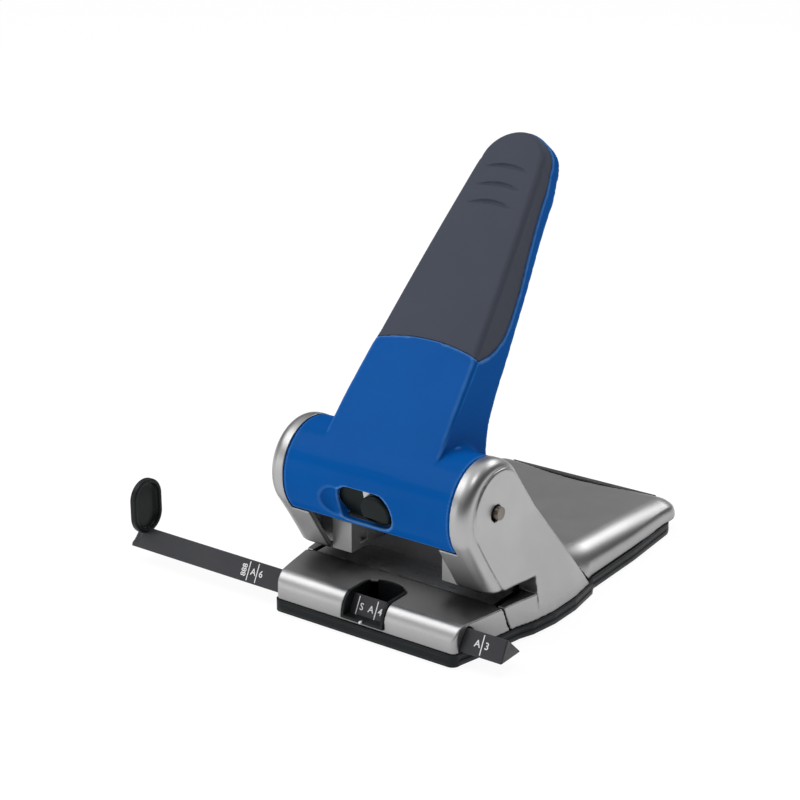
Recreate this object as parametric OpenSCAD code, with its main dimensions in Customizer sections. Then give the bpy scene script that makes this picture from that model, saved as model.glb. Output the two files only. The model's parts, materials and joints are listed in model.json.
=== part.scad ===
// Heavy-duty two-hole paper punch with an edge guide, a chip drawer and a long lever.
// Origin: on the floor, midway between the two punch pins. +Y points to the rear,
// +X to the right, +Z up. All sizes are in millimetres.

/* [Punching] */
// Distance between the two holes
hole_pitch = 80; // [80:1:80]
// Diameter of the punched holes
hole_d = 5.5; // [5.5:0.1:5.5]
// Distance from the paper edge to the hole centres
edge_to_hole = 12; // [12:0.5:12]
// How far each pin travels down
pin_stroke = 12; // [11:0.5:12]
// Height of the paper throat
throat_h = 7.7; // [7:0.1:8]

/* [Base] */
// Height of the rubber feet
foot_h = 1.2; // [1:0.1:1.4]
// Top of the black tray above the floor
tray_top = 7.4; // [7:0.1:7.6]
// Top of the paper table above the floor
table_z = 20.9; // [20.5:0.1:21]
// Front edge of the base, in front of the pins
base_front = 44.5; // [44:0.5:45]
// Rear edge of the tray, behind the pins
base_rear = 162.5; // [160:0.5:164]
// Rear edge of the rear cover, which hangs over the tray's rear edge
cover_rear = 171; // [168:0.5:172]

/* [Lever] */
// Distance of the pivot in front of the pins
pivot_y = -17.2; // [-17.4:0.1:-17]
// Height of the pivot
pivot_z = 72.8; // [72.6:0.1:73.2]
// Angle of the raised lever above level
lever_angle = 46; // [44:1:48]
// Outer radius of the lever's barrel
barrel_r = 24.9; // [24.5:0.1:25]
// Half of the barrel's length
barrel_half = 48.3; // [48:0.1:48.4]
// Distance from the pivot to the lever's tip
lever_len = 188; // [184:1:192]
// Distance from the pivot to the lower edge of the grip
grip_start = 64; // [60:1:70]

/* [Edge guide] */
// Left end of the guide rail
rail_left = -155; // [-158:1:-152]
// Right end of the guide rail
rail_right = 77.5; // [76:0.5:79]
// Diameter of the paper stop's round ends
stop_w = 24.5; // [22:0.5:26]
// Height of the paper stop
stop_h = 30; // [28:1:32]

/* [Hidden] */
$fn = 96;

pin_x = hole_pitch / 2;
pin_r = hole_d / 2;
fit_gap = 0.05;
air_gap = 0.3;

// Stack of the base, from the floor up
sheet = 1.6;
tray_wall = 2;
floor_top = foot_h + sheet;
web_bottom = 13.9;
web_top = 16.9;
throat_top = table_z + throat_h;
block_top = 45;
groove_front = -12.5;
groove_rear = -9.5;

// Towers, from the middle outwards
block_in = 27.2;
block_step = 39;
block_front = -15.5;
wrap_in = 38.5;
wrap_top = 51;
wrap_t = 2.4;
upright_in = 50.5;
upright_out = 53.5;
cheek_out = 59.2;
cheek_rim_in = 49.5;
upright_r = 21;
cheek_r = 25.1;
face_r = 20.6;

shaft_r = 3.25;
bush_r = 5;
plate_t = 2;
plate_in = barrel_half - plate_t;
shell_t = 2;
barrel_in_r = barrel_r - shell_t;
press_radius = 18;
press_angle = 19.5;
press_r = 4;
press_y = pivot_y + press_radius * cos(press_angle);
press_z = pivot_z + press_radius * sin(press_angle);
head_top = press_z - press_r - air_gap;
head_h = 3;
head_r = 5.2;
pin_rest = throat_top + 0.6;

// Lever profile: distances s along the lever and n above its axis, from the pivot
lever_top = 26.6;
grip_t = 1.8;
window_drop = 13.5;
lever_wall = 2.2;
tip_r = 18;

// Edge guide: a rail of triangular section
rail_front = [-39.9, 8.4];
rail_ridge = [-34.3, 19.2];
rail_rear = [-23, 8.4];
stop_x = -150;
stop_t = 3.6;

// Chip drawer
drawer_half = 46;
drawer_front = -9;
drawer_rear = base_rear - 1;
drawer_bottom = floor_top + air_gap;
drawer_top = 12.5;
tab_half = 46;
tab_front = 157;
tab_corner = 165;

boss_spots = [[50, -4], [50, 80]];
foot_spots = [[44, -33], [50, 144]];
foot_r = 6;
cover_screw_spots = [[54.8, 100]];

// Half widths of the base, as [distance behind the pins, half width]
side_line = [[-40, 54.6], [-28.5, 57.3], [0, 62.7], [8, 65.6], [24, 68.2], [43, 68.5],
    [64, 66], [68.5, 63.2], [112, 63.2], [150, 61.4]];
// Half widths of the lever, as [distance from the pivot, half width]
lever_line = [[0, 33], [28, 31.7], [43, 30.7], [64, 29.2], [91, 26.9], [115, 24.6],
    [139, 22.1], [159, 19.7], [169, 18.2]];
// Lower edge of the lever's side walls, as [distance from the pivot, height n]
skirt_line = [[20, -16], [29, -13], [34, -8.5], [47, -4.5], [60, -3.5], [80, -2.5], [113, 0.6],
    [143, 3], [172, 6.5], [188, 13]];

function arc(cx, cy, rx, ry, a0, a1, steps) =
    [for (i = [0:steps]) let (a = a0 + (a1 - a0) * i / steps) [cx + rx * cos(a), cy + ry * sin(a)]];
function flipped(points) = [for (i = [len(points) - 1:-1:0]) [-points[i][0], points[i][1]]];
function both_sides(points) = concat(points, flipped(points));

// Right half of the base outline, drawn in by inset
function base_half(inset, rear = base_rear) = concat(
    arc(50.6, -base_front + 4, 4 - inset, 4 - inset, -90, -8, 6),
    [for (p = side_line) [p[1] - inset, p[0]]],
    arc(49.4, rear - 12, 12 - inset, 12 - inset, 4, 90, 8));
function lever_half(inset) = concat(
    [for (p = lever_line) [p[1] - inset, p[0]]],
    arc(0, lever_len - tip_r, tip_r - inset, tip_r - inset, 4, 90, 12));

module mirrored() {
    children();
    mirror([1, 0, 0]) children();
}

// Extrudes a drawing whose x is the row's Y and whose y is the row's Z along X
module along_x(x0, x1) {
    translate([x0, 0, 0]) rotate([90, 0, 90]) linear_extrude(x1 - x0) children();
}

// Extrudes a drawing whose x is the row's X and whose y is the row's Z along Y
module along_y(y0, y1) {
    translate([0, y1, 0]) rotate([90, 0, 0]) linear_extrude(y1 - y0) children();
}

module plan(inset, z0, z1) {
    translate([0, 0, z0]) linear_extrude(z1 - z0) polygon(both_sides(base_half(inset)));
}

module box(x0, x1, y0, y1, z0, z1) {
    translate([x0, y0, z0]) cube([x1 - x0, y1 - y0, z1 - z0]);
}

module post(x, y, z0, z1, r) {
    translate([x, y, z0]) cylinder(h = z1 - z0, r = r);
}

// A bar along X at the pivot's or any other height
module rod_x(x0, x1, y, z, r) {
    translate([x0, y, z]) rotate([0, 90, 0]) cylinder(h = x1 - x0, r = r);
}

module on_lever() {
    translate([0, pivot_y, pivot_z]) rotate([lever_angle, 0, 0]) children();
}

// ---------- base ----------

module base_tray() {
    color("#2b3036") difference() {
        union() {
            difference() {
                plan(0, foot_h, tray_top);
                plan(tray_wall, floor_top, tray_top + 1);
            }
            mirrored() for (s = boss_spots) post(s[0], s[1], foot_h, web_bottom, 3.2);
            mirrored() box(40, 46, -41, -22, foot_h, rail_front[1] - air_gap);
        }
        box(-drawer_half - 0.5, drawer_half + 0.5, 150, base_rear + 1, floor_top, tray_top + 1);
        mirrored() for (s = boss_spots) {
            post(s[0], s[1], 0, web_bottom + 1, 1.5);
            post(s[0], s[1], 0, foot_h + 1.4, 2.8);
        }
        mirrored() for (s = cover_screw_spots) post(s[0], s[1], 0, floor_top + 1, 2.5);
    }
}

module rubber_feet() {
    color("#1b1b1c") {
        mirrored() for (s = foot_spots) post(s[0], s[1], 0, foot_h, foot_r);
        post(0, 0, 0, foot_h, 1.5 * foot_r);
    }
}

module tray_screws() {
    color("#8d8d8f") mirrored() for (s = boss_spots) {
        post(s[0], s[1], foot_h + 0.2, foot_h + 1.4, 2.8);
        post(s[0], s[1], foot_h + 1.4, web_top, 1.5);
    }
}

// Outline of an upright as seen from the side, drawn in by inset
rear_dir = [cos(-52.4), sin(-52.4)];
rear_normal = [-rear_dir[1], rear_dir[0]];
cheek_back = [2.7, 88.1];
function back_point(inset, z) =
    let (p = cheek_back - inset * [-rear_dir[1], rear_dir[0]])
    [p[0] + (z - p[1]) * rear_dir[0] / rear_dir[1], z];
front_dir = [cos(114.4), sin(114.4)];
cheek_front = [-23.4, 35.8];
function front_point(inset, z) =
    let (p = cheek_front + inset * [front_dir[1], -front_dir[0]])
    [p[0] + (z - p[1]) * front_dir[0] / front_dir[1], z];

// Side outline of a tower: a round top about the pivot on a leg that leans back
module tower(inset, bottom, top_r) {
    difference() {
        union() {
            translate([pivot_y, pivot_z]) circle(top_r);
            polygon([front_point(inset, pivot_z + 4), front_point(inset, throat_top + inset),
                [groove_rear + inset, throat_top + inset], [groove_rear + inset, bottom],
                back_point(inset, bottom), back_point(inset, pivot_z + 18 - inset),
                [pivot_y, pivot_z + 18]]);
        }
        translate([groove_rear - 20, table_z - inset])
            square([edge_to_hole - groove_rear + 20 + inset, throat_h + 2 * inset]);
    }
}

module main_frame() {
    color("#a9abad") difference() {
        union() {
            box(-upright_out, upright_out, groove_rear, 90, web_bottom, web_top);
            mirrored() along_x(upright_in, upright_out) difference() {
                tower(5, web_bottom, upright_r);
                square([200, 2 * web_top], center = true);
                translate([groove_rear - 1, web_top - 1])
                    square([edge_to_hole - groove_rear + 1, 6]);
            }
        }
        mirrored() post(pin_x, 0, web_bottom - 1, web_top + 1, 4.5);
        rod_x(-60, 60, pivot_y, pivot_z, shaft_r);
        mirrored() for (s = boss_spots) post(s[0], s[1], web_bottom - 1, web_top + 1, 1.5);
        mirrored() post(20, 4, web_bottom - 1, web_top + 1, 1.5);
    }
}

module die_plate() {
    color("#b9bbbd") difference() {
        box(-upright_out, upright_out, groove_rear, edge_to_hole, web_top, table_z);
        mirrored() post(pin_x, 0, web_top - 1, table_z + 1, pin_r + fit_gap);
        mirrored() post(20, 4, web_top - 1, table_z - 1.2, 1.5);
    }
}

module frame_screws() {
    color("#8d8d8f") mirrored() {
        post(20, 4, web_bottom - 1, web_bottom, 2.8);
        post(20, 4, web_bottom, table_z - 1.2, 1.5);
    }
}

// Outline of the front cover as seen from the side, a curved bevel under a flat table
module cover_section(t) {
    polygon(concat(
        arc(-base_front + 8.4, table_z - 12.6, 8 - t, 12.6 - t, 180, 90, 10),
        [[groove_front - t, table_z - t], [groove_front - t, tray_top - 0.01],
            [-base_front + 0.4 + t, tray_top - 0.01]]));
}

module rail_section(gap) {
    polygon([[rail_front[0] - 1.5 * gap, rail_front[1] - gap], rail_ridge + [0, 1.5 * gap],
        [rail_rear[0] + 2 * gap, rail_rear[1] - gap]]);
}

// The index window: a rounded trapezium that starts on the bevel and ends in a low arch
function window_line(grow) = concat(
    [[-12.6 - grow, -46], [12.6 + grow, -46], [12.6 + grow, -26.5]],
    arc(0, -26.5, 12.6 + grow, 8.3 + grow, 10, 170, 10),
    [[-12.6 - grow, -26.5]]);

module front_cover() {
    color("#b7b8ba") difference() {
        intersection() {
            plan(0.8, tray_top, table_z);
            along_x(-80, 80) cover_section(0);
        }
        intersection() {
            plan(2.2, tray_top - 1, table_z - 1.2);
            along_x(-80, 80) cover_section(1.2);
        }
        along_x(-90, 90) rail_section(air_gap);
        translate([0, 0, 9.2]) linear_extrude(20) polygon(window_line(0));
    }
}

module window_bezel() {
    color("#202326") difference() {
        intersection() {
            translate([0, 0, 9.2]) linear_extrude(table_z + 0.5 - 9.2) polygon(window_line(-0.05));
            along_x(-20, 20) translate([0, 0.4]) cover_section(-0.4);
        }
        translate([0, 0, 10.6]) linear_extrude(20) polygon(window_line(-1.6));
        along_x(-20, 20) rail_section(air_gap);
        box(-10.6, 10.6, -40, -20, 9, 30);
        pointer_space();
    }
}

module pointer_space() {
    box(-0.6, 0.6, -46, -44.2, 9.6, 10.8);
}

module index_pointer() {
    color("#e8e8e8") pointer_space();
}

module rail_spring() {
    color("#b08d3c") difference() {
        box(26, 38, -36, -18, floor_top, 8.1);
        box(27, 37, -37, -17, floor_top + 0.8, 7.5);
    }
}

module guide_block() {
    difference() {
        union() {
            box(block_in, block_step, block_front, edge_to_hole, throat_top, block_top);
            box(block_step, upright_in, block_front + 6, edge_to_hole, throat_top, block_top);
        }
        post(pin_x, 0, throat_top - 1, block_top + 1, pin_r + fit_gap);
        box(block_in - 1, block_in + 3, -8, -2, throat_top + 3, throat_top + 8);
    }
}

module guide_block_right() {
    color("#c0c1c3") guide_block();
}

module guide_block_left() {
    color("#c0c1c3") mirror([1, 0, 0]) guide_block();
}

// Curved wall that joins the towers and stops the paper edge
module paper_stop_wall() {
    color("#8f9193") difference() {
        along_x(-upright_in, upright_in) polygon(concat(
            [[edge_to_hole, web_top], [edge_to_hole, block_top - 3]],
            arc(edge_to_hole + 10, block_top - 3, 10, 6, 180, 90, 8),
            [[edge_to_hole + 10, block_top], [edge_to_hole + 6, block_top],
                [edge_to_hole + 2, block_top - 4], [edge_to_hole + 2, web_top]]));
    }
}

// Round end of the cheek: a shoulder round the end of the barrel, then the flat face
module cheek_bell() {
    translate([0, pivot_y, pivot_z]) rotate([0, 90, 0]) rotate_extrude() polygon(concat(
        [[23.7, cheek_rim_in], [cheek_r, cheek_rim_in]],
        arc(face_r, cheek_out - 5.2, cheek_r - face_r, 4.2, 0, 90, 8),
        [[face_r, cheek_out], [0, cheek_out], [0, upright_out], [23.7, upright_out]]));
}

// The cheek's front wraps inwards as a sloping sheet in front of the guide block
function wrap_y(z) = 1.7 - 0.669 * z;
module cheek_wrap() {
    along_x(wrap_in, cheek_out - 2) polygon([[wrap_y(throat_top), throat_top],
        [wrap_y(wrap_top), wrap_top], [wrap_y(wrap_top) + wrap_t, wrap_top],
        [wrap_y(throat_top) + wrap_t, throat_top]]);
}

module cheek() {
    difference() {
        union() {
            cheek_bell();
            cheek_wrap();
            along_x(upright_out, cheek_out) tower(0, tray_top, cheek_r - 0.6);
            intersection() {
                along_x(upright_out, 70) tower(0, tray_top, cheek_r - 0.6);
                along_y(-30, 80) polygon([[50, tray_top], [67.6, tray_top], [cheek_out, 62], [50, 62]]);
                plan(0.9, tray_top, 60);
            }
        }
        along_x(49, upright_out) tower(5, 0, upright_r + 0.5);
        along_x(upright_out - 1, cheek_out - 2.5) difference() {
            tower(6, tray_top + 3, upright_r - 1);
            translate([-60, 0]) square([60 + edge_to_hole + 6, throat_top + 6]);
        }
        box(upright_out - 1, 60, edge_to_hole + 6, 40, tray_top - 1, tray_top + 4);
        rod_x(50, 80, pivot_y, pivot_z, shaft_r + 1.1);
    }
}

module cheek_right() {
    color("#b4b5b7") cheek();
}

module cheek_left() {
    color("#b4b5b7") mirror([1, 0, 0]) cheek();
}

// Rear cover: side profile of the roof, then the bevelled section
function roof_line(drop) = [[14, block_top - drop], [24, block_top - drop], [40, 31 - drop],
    [66, 23.4 - drop], [120, 20.4 - drop], [cover_rear - 12, 17.7 - drop],
    [cover_rear - 5, 16 - drop], [cover_rear - 1.6, 13 - drop], [cover_rear - drop, 8.4]];

module roof(drop) {
    along_x(-70, 70)
        polygon(concat(roof_line(drop), [[cover_rear - drop, tray_top - 0.01], [14, tray_top - 0.01]]));
}

module bevel(t) {
    along_y(60, 175) polygon(both_sides(concat(
        [[62.4 - t, tray_top - 1], [62.4 - t, tray_top + 1]],
        arc(48, tray_top + 1, 14.4 - t, 12.4 - t, 20, 90, 8), [[30, 40]])));
}

module rear_solid(t) {
    intersection() {
        union() {
            intersection() {
                translate([0, 0, tray_top]) linear_extrude(60)
                    polygon(both_sides(base_half(0.8 + t, cover_rear)));
                box(-70, 70, 66 + t, 180, 0, 60);
                bevel(t);
            }
            box(-upright_in + t, upright_in - t, edge_to_hole + 10 + t, 90, tray_top + 10, block_top);
        }
        roof(t);
    }
}

// The drawer's tab fills a bow-shaped opening in the cover's rear edge
module tab_area(inset) {
    translate([0, 0, drawer_bottom]) linear_extrude(40) polygon(concat(
        [for (i = [-8:8]) [i / 8 * (tab_half - inset),
            tab_front + inset + (tab_corner - tab_front) * pow(i / 8, 2)]],
        [[tab_half - inset, 180], [-tab_half + inset, 180]]));
}

module rear_cover() {
    color("#adaeb0") difference() {
        rear_solid(0);
        rear_solid(sheet);
        plan(3, tray_top - 1, tray_top + 3);
        box(-upright_out, upright_out, 0, 90, 0, web_top);
        box(-upright_out - 0.5, upright_out + 0.5, 60, 90, 0, web_top);
        along_x(-70, 70) difference() {
            tower(0, 0, cheek_r - 1);
            translate([-100, web_top]) square([300, 100]);
        }
        box(-drawer_half - 0.5, drawer_half + 0.5, 150, 180, 0, drawer_top + 0.5);
        translate([0, 0, -drawer_bottom]) tab_area(-0.5);
    }
    color("#adaeb0") mirrored() for (s = cover_screw_spots) difference() {
        post(s[0], s[1], floor_top, 18.5, 3);
        post(s[0], s[1], 0, 14, 1.2);
    }
}

module rear_cover_screws() {
    color("#8d8d8f") mirrored() for (s = cover_screw_spots) {
        post(s[0], s[1], foot_h + 0.2, floor_top, 2.5);
        post(s[0], s[1], floor_top, 14, 1.2);
    }
}

// ---------- pivot ----------

module pivot_shaft() {
    color("#8c8070") difference() {
        rod_x(-61.6, 61.6, pivot_y, pivot_z, shaft_r);
        mirrored() difference() {
            rod_x(53.8, 54.6, pivot_y, pivot_z, shaft_r + 1);
            rod_x(53, 55, pivot_y, pivot_z, shaft_r - 0.6);
        }
    }
}

module ring_x(x0, x1, outer, inner) {
    difference() {
        rod_x(x0, x1, pivot_y, pivot_z, outer);
        rod_x(x0 - 1, x1 + 1, pivot_y, pivot_z, inner);
    }
}

module pivot_clips() {
    color("#5a5a5c") mirrored() ring_x(53.8, 54.6, 5.6, shaft_r - 0.6);
}

module spacer_washers() {
    color("#c9b26a") mirrored() ring_x(barrel_half + air_gap, upright_in - 0.2, 7, shaft_r);
}

// ---------- lever ----------

module skirt_cut(rise) {
    along_x(-70, 70) polygon(concat([for (p = skirt_line) p + [0, rise]],
        [[lever_len + 5, 40], [-5, 40], [-5, -13 + rise]]));
}

module lever_solid(inset, top) {
    translate([0, 0, -25]) linear_extrude(top + 25) polygon(both_sides(lever_half(inset)));
}

// Space of the soft grip: over the top and down the sides, down to a rim of the shell
module grip_space() {
    intersection() {
        lever_solid(0, lever_top);
        skirt_cut(5);
        box(-40, 40, grip_start, lever_len + 5, -20, 40);
    }
}

module window_cut() {
    rotate([-window_drop, 0, 0]) rotate([90, 0, 0]) linear_extrude(40) {
        for (x = [-4.6, 4.6]) translate([x, 0]) circle(10.4);
        square([9.2, 20.8], center = true);
    }
}

module handle_shell() {
    color("#0b58a2") difference() {
        union() {
            difference() {
                rod_x(-barrel_half, barrel_half, pivot_y, pivot_z, barrel_r);
                rod_x(-60, 60, pivot_y, pivot_z, barrel_in_r);
                along_x(-60, 60) translate([pivot_y, pivot_z]) polygon([[0, 0],
                    60 * [cos(15), sin(15)], [60, -60], [-20, -60], 60 * [cos(223), sin(223)]]);
            }
            on_lever() difference() {
                intersection() {
                    lever_solid(0, lever_top);
                    skirt_cut(0);
                }
                intersection() {
                    lever_solid(lever_wall + grip_t, lever_top - grip_t - lever_wall);
                    box(-40, 40, 0, lever_len, -30, 40);
                }
                difference() {
                    grip_space();
                    lever_solid(grip_t, lever_top - grip_t);
                }
                rod_x(-60, 60, 0, 0, barrel_in_r + shell_t / 2);
            }
        }
        translate([0, pivot_y, pivot_z]) window_cut();
    }
}

module grip_pad() {
    color("#3b3f46") on_lever() difference() {
        grip_space();
        lever_solid(grip_t, lever_top - grip_t);
        for (s = [146, 157, 167]) translate([-10, s, lever_top - 0.6]) cube([20, 1, 2]);
    }
}

module handle_liner() {
    color("#1d1f22") on_lever() difference() {
        intersection() {
            lever_solid(lever_wall + grip_t, 20);
            along_x(-40, 40) polygon([[28, -3], [52, -1], [80, 0], [113, 3.4], [143, 4.2],
                [172, 8.6], [182, 13.2], [182, 15.2], [172, 10.6], [143, 6.2], [113, 5.4],
                [80, 2], [52, 1], [28, -1]]);
        }
        for (s = [60, 150]) translate([0, s, -20]) cylinder(h = 40, r = 1.5);
    }
}

module liner_screws() {
    color("#77787a") on_lever() for (s = [60, 150]) {
        n = lookup(s, [[60, 1.3], [150, 7.3]]);
        translate([0, s, n - 5.2]) cylinder(h = 1.6, r = 2.8);
        translate([0, s, n - 4]) cylinder(h = 12, r = 1.5);
    }
}

module end_plate() {
    difference() {
        rod_x(plate_in, barrel_half, pivot_y, pivot_z, barrel_in_r);
        rod_x(plate_in - 1, barrel_half + 1, pivot_y, pivot_z, bush_r);
        rod_x(plate_in - 1, barrel_half + 1, press_y, press_z, 2.5);
    }
}

module end_plate_right() {
    color("#9a9c9f") end_plate();
}

module end_plate_left() {
    color("#9a9c9f") mirror([1, 0, 0]) end_plate();
}

module pivot_bushes() {
    color("#c19a4b") mirrored() ring_x(plate_in - 6, barrel_half, bush_r, shaft_r + fit_gap);
}

module press_bar() {
    color("#9b9da0") {
        rod_x(-plate_in, plate_in, press_y, press_z, press_r);
        rod_x(-barrel_half, barrel_half, press_y, press_z, 2.5);
    }
}

// Plate behind the window, with the knob's two round seats cut through it
module lock_plate() {
    color("#8a8c8e") difference() {
        rod_x(-21, 21, pivot_y, pivot_z, barrel_in_r);
        rod_x(-22, 22, pivot_y, pivot_z, barrel_in_r - 1.3);
        along_x(-22, 22) translate([pivot_y, pivot_z])
            polygon([[0, 0], 60 * [cos(158), sin(158)], [0, 60], [60, 0], [0, -60],
                60 * [cos(218), sin(218)]]);
        translate([0, pivot_y, pivot_z]) rotate([-window_drop, 0, 0]) rotate([90, 0, 0])
            for (x = [-5.3, 5.3]) translate([x, 0, 0]) cylinder(h = 40, r = 10.1);
    }
}

module lock_knob() {
    color("#15171a") translate([5.2, pivot_y, pivot_z]) rotate([-window_drop, 0, 0]) rotate([90, 0, 0]) {
        translate([0, 0, 19.5]) cylinder(h = 4.5, r = 8.4);
        translate([-13, -8.5, 17.5]) cube([26, 17, 2]);
    }
}

// ---------- pins ----------

module punch_pin() {
    translate([pin_x, 0, 0]) {
        translate([0, 0, pin_rest]) cylinder(h = head_top - pin_rest, r = pin_r);
    }
}

module punch_pin_right() {
    color("#c8cacc") punch_pin();
}

module punch_pin_left() {
    color("#c8cacc") mirror([1, 0, 0]) punch_pin();
}

module pin_collar() {
    difference() {
        post(pin_x, 0, head_top - head_h, head_top, head_r);
        post(pin_x, 0, head_top - head_h - 1, head_top + 1, pin_r);
    }
}

module pin_collar_right() {
    color("#6d6f72") pin_collar();
}

module pin_collar_left() {
    color("#6d6f72") mirror([1, 0, 0]) pin_collar();
}

// Compression spring: a round wire swept along a helix
function helix_ring(t, z0, h, turns, r, wire, sides) =
    let (a = 360 * turns * t)
    [for (k = [0:sides - 1]) let (b = 360 * k / sides)
        [(r + wire * cos(b)) * cos(a), (r + wire * cos(b)) * sin(a), z0 + h * t + wire * sin(b)]];

module coil(z0, h, turns, r, wire, steps, sides) {
    points = [for (i = [0:steps]) each helix_ring(i / steps, z0, h, turns, r, wire, sides)];
    polyhedron(points, concat(
        [[for (k = [0:sides - 1]) k]],
        [for (i = [0:steps - 1]) for (k = [0:sides - 1])
            [i * sides + k, (i + 1) * sides + k, (i + 1) * sides + (k + 1) % sides,
                i * sides + (k + 1) % sides]],
        [[for (k = [sides - 1:-1:0]) steps * sides + k]]));
}

module return_spring() {
    wire = 0.7;
    z0 = block_top + wire + 0.1;
    h = head_top - head_h - 2 * wire - 0.2 - block_top;
    translate([pin_x, 0, 0]) coil(z0, h, 6, 4.2, wire, 84, 6);
}

module return_spring_right() {
    color("#b5b7ba") return_spring();
}

module return_spring_left() {
    color("#b5b7ba") mirror([1, 0, 0]) return_spring();
}

// ---------- edge guide ----------

module guide_rail() {
    color("#45464b") along_x(rail_left, rail_right) rail_section(0);
}

module paper_stop() {
    stop_y = -32.2;
    stop_z = 16;
    color("#24272a") translate([stop_x, stop_y, stop_z]) rotate([90, 0, 90]) difference() {
        linear_extrude(stop_t) {
            for (z = [stop_w / 2, stop_h - stop_w / 2]) translate([0, z]) circle(stop_w / 2);
            translate([-stop_w / 2, stop_w / 2]) square([stop_w, stop_h - stop_w]);
        }
        translate([0, 0, stop_t - 1]) linear_extrude(2) {
            for (z = [stop_w / 2, stop_h - stop_w / 2]) translate([0, z]) circle(stop_w / 2 - 3);
            translate([3 - stop_w / 2, stop_w / 2]) square([stop_w - 6, stop_h - stop_w]);
        }
        translate([0, 0, -1]) linear_extrude(stop_t + 2) translate([-stop_y, -stop_z]) rail_section(0);
    }
}

// ---------- drawer ----------

module chip_drawer() {
    color("#202428") {
        difference() {
            box(-drawer_half, drawer_half, drawer_front, drawer_rear, drawer_bottom, drawer_top);
            box(-drawer_half + sheet, drawer_half - sheet, drawer_front + sheet, drawer_rear - 3,
                drawer_bottom + sheet, drawer_top + 1);
        }
        difference() {
            intersection() {
                tab_area(0);
                rear_solid(0);
            }
            intersection() {
                tab_area(2);
                rear_solid(2);
            }
        }
    }
}

base_tray();
rubber_feet();
tray_screws();
main_frame();
die_plate();
frame_screws();
front_cover();
window_bezel();
index_pointer();
rail_spring();
paper_stop_wall();
guide_block_left();
guide_block_right();
cheek_left();
cheek_right();
rear_cover();
rear_cover_screws();
pivot_shaft();
pivot_clips();
spacer_washers();
handle_shell();
grip_pad();
handle_liner();
end_plate_left();
end_plate_right();
pivot_bushes();
press_bar();
liner_screws();
lock_plate();
lock_knob();
punch_pin_left();
punch_pin_right();
pin_collar_left();
pin_collar_right();
return_spring_left();
return_spring_right();
guide_rail();
paper_stop();
chip_drawer();
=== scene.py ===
"""Looks of the two-hole paper punch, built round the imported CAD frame.

The moulded and pressed covers are smooth solids, described as distance fields in
millimetres and meshed by surface nets. Plain machined pieces keep their CAD meshes.
"""

import itertools
import json
import math

import bpy
import numpy as np
from mathutils import Matrix, Vector


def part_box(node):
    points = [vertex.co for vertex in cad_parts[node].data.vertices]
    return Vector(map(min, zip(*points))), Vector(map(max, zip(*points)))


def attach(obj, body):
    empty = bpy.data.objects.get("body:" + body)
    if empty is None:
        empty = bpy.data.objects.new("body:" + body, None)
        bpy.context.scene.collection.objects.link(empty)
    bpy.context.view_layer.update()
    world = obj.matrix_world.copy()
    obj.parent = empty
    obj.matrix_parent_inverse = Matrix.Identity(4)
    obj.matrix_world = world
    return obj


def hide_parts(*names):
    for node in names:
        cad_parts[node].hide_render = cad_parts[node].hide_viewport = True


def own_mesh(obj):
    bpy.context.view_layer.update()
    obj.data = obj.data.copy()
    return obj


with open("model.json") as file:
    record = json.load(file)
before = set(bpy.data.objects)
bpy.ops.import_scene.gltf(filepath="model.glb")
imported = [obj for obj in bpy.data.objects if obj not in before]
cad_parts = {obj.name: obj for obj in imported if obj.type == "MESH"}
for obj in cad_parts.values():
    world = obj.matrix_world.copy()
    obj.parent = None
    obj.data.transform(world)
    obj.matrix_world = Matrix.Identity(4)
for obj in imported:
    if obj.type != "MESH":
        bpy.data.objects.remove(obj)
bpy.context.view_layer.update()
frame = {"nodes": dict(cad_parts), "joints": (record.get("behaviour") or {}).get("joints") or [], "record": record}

MM = 0.001
RECORD = frame["record"]
HINGE = next(j for j in frame["joints"] if j["name"] == "lever_hinge")
PIVOT_Y, PIVOT_Z = (value / MM for value in HINGE["pos_m"][1:])


# ---------------------------------------------------------------- fields

def meet(a, b, r=0.0):
    """Where both fields are negative, with the edge between them rounded to r."""
    outer = np.hypot(np.maximum(a + r, 0), np.maximum(b + r, 0))
    return outer + np.minimum(np.maximum(a, b) + r, 0) - r


def join(a, b, r=0.0):
    """Where either field is negative, with a fillet of radius r between them."""
    return -meet(-a, -b, r)


def cut(a, b, r=0.0):
    """Field a with field b taken away, and its new edge rounded to r."""
    return meet(a, -b, r)


def fade(t):
    """0 below 0, 1 above 1, and a smooth step between."""
    t = np.clip(t, 0, 1)
    return t * t * (3 - 2 * t)


def oval(a, b, size_a, size_b):
    """Quarter ellipse about the origin, which runs on straight where a or b is negative."""
    a, b = np.maximum(a, 0), np.maximum(b, 0)
    reach = np.hypot(a / size_a, b / size_b) + 1e-6
    slope = np.hypot(a / size_a ** 2, b / size_b ** 2) + 1e-6
    return reach * (reach - 1) / slope


def along(points, t, soft):
    """Height of a line through the points, its corners eased over a distance of soft."""
    xs, ys = zip(*points)
    parts = [np.interp(t + soft * k, xs, ys) for k in (-1, -0.5, 0, 0.5, 1)]
    return sum(parts) / len(parts)


# ---------------------------------------------------------------- meshes

CORNERS = np.array(list(itertools.product((0, 1), repeat=3)))
EDGES = [(a, b) for a, b in itertools.combinations(range(8), 2)
         if np.abs(CORNERS[a] - CORNERS[b]).sum() == 1]


def slope_of(field, points, h=0.15):
    """Value of the field at the points, and its gradient."""
    def at(offset):
        return field(*(points + offset).T)
    steps = h * np.eye(3)
    gradient = np.stack([(at(s) - at(-s)) / (2 * h) for s in steps], 1)
    return at(0.0), gradient


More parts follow.
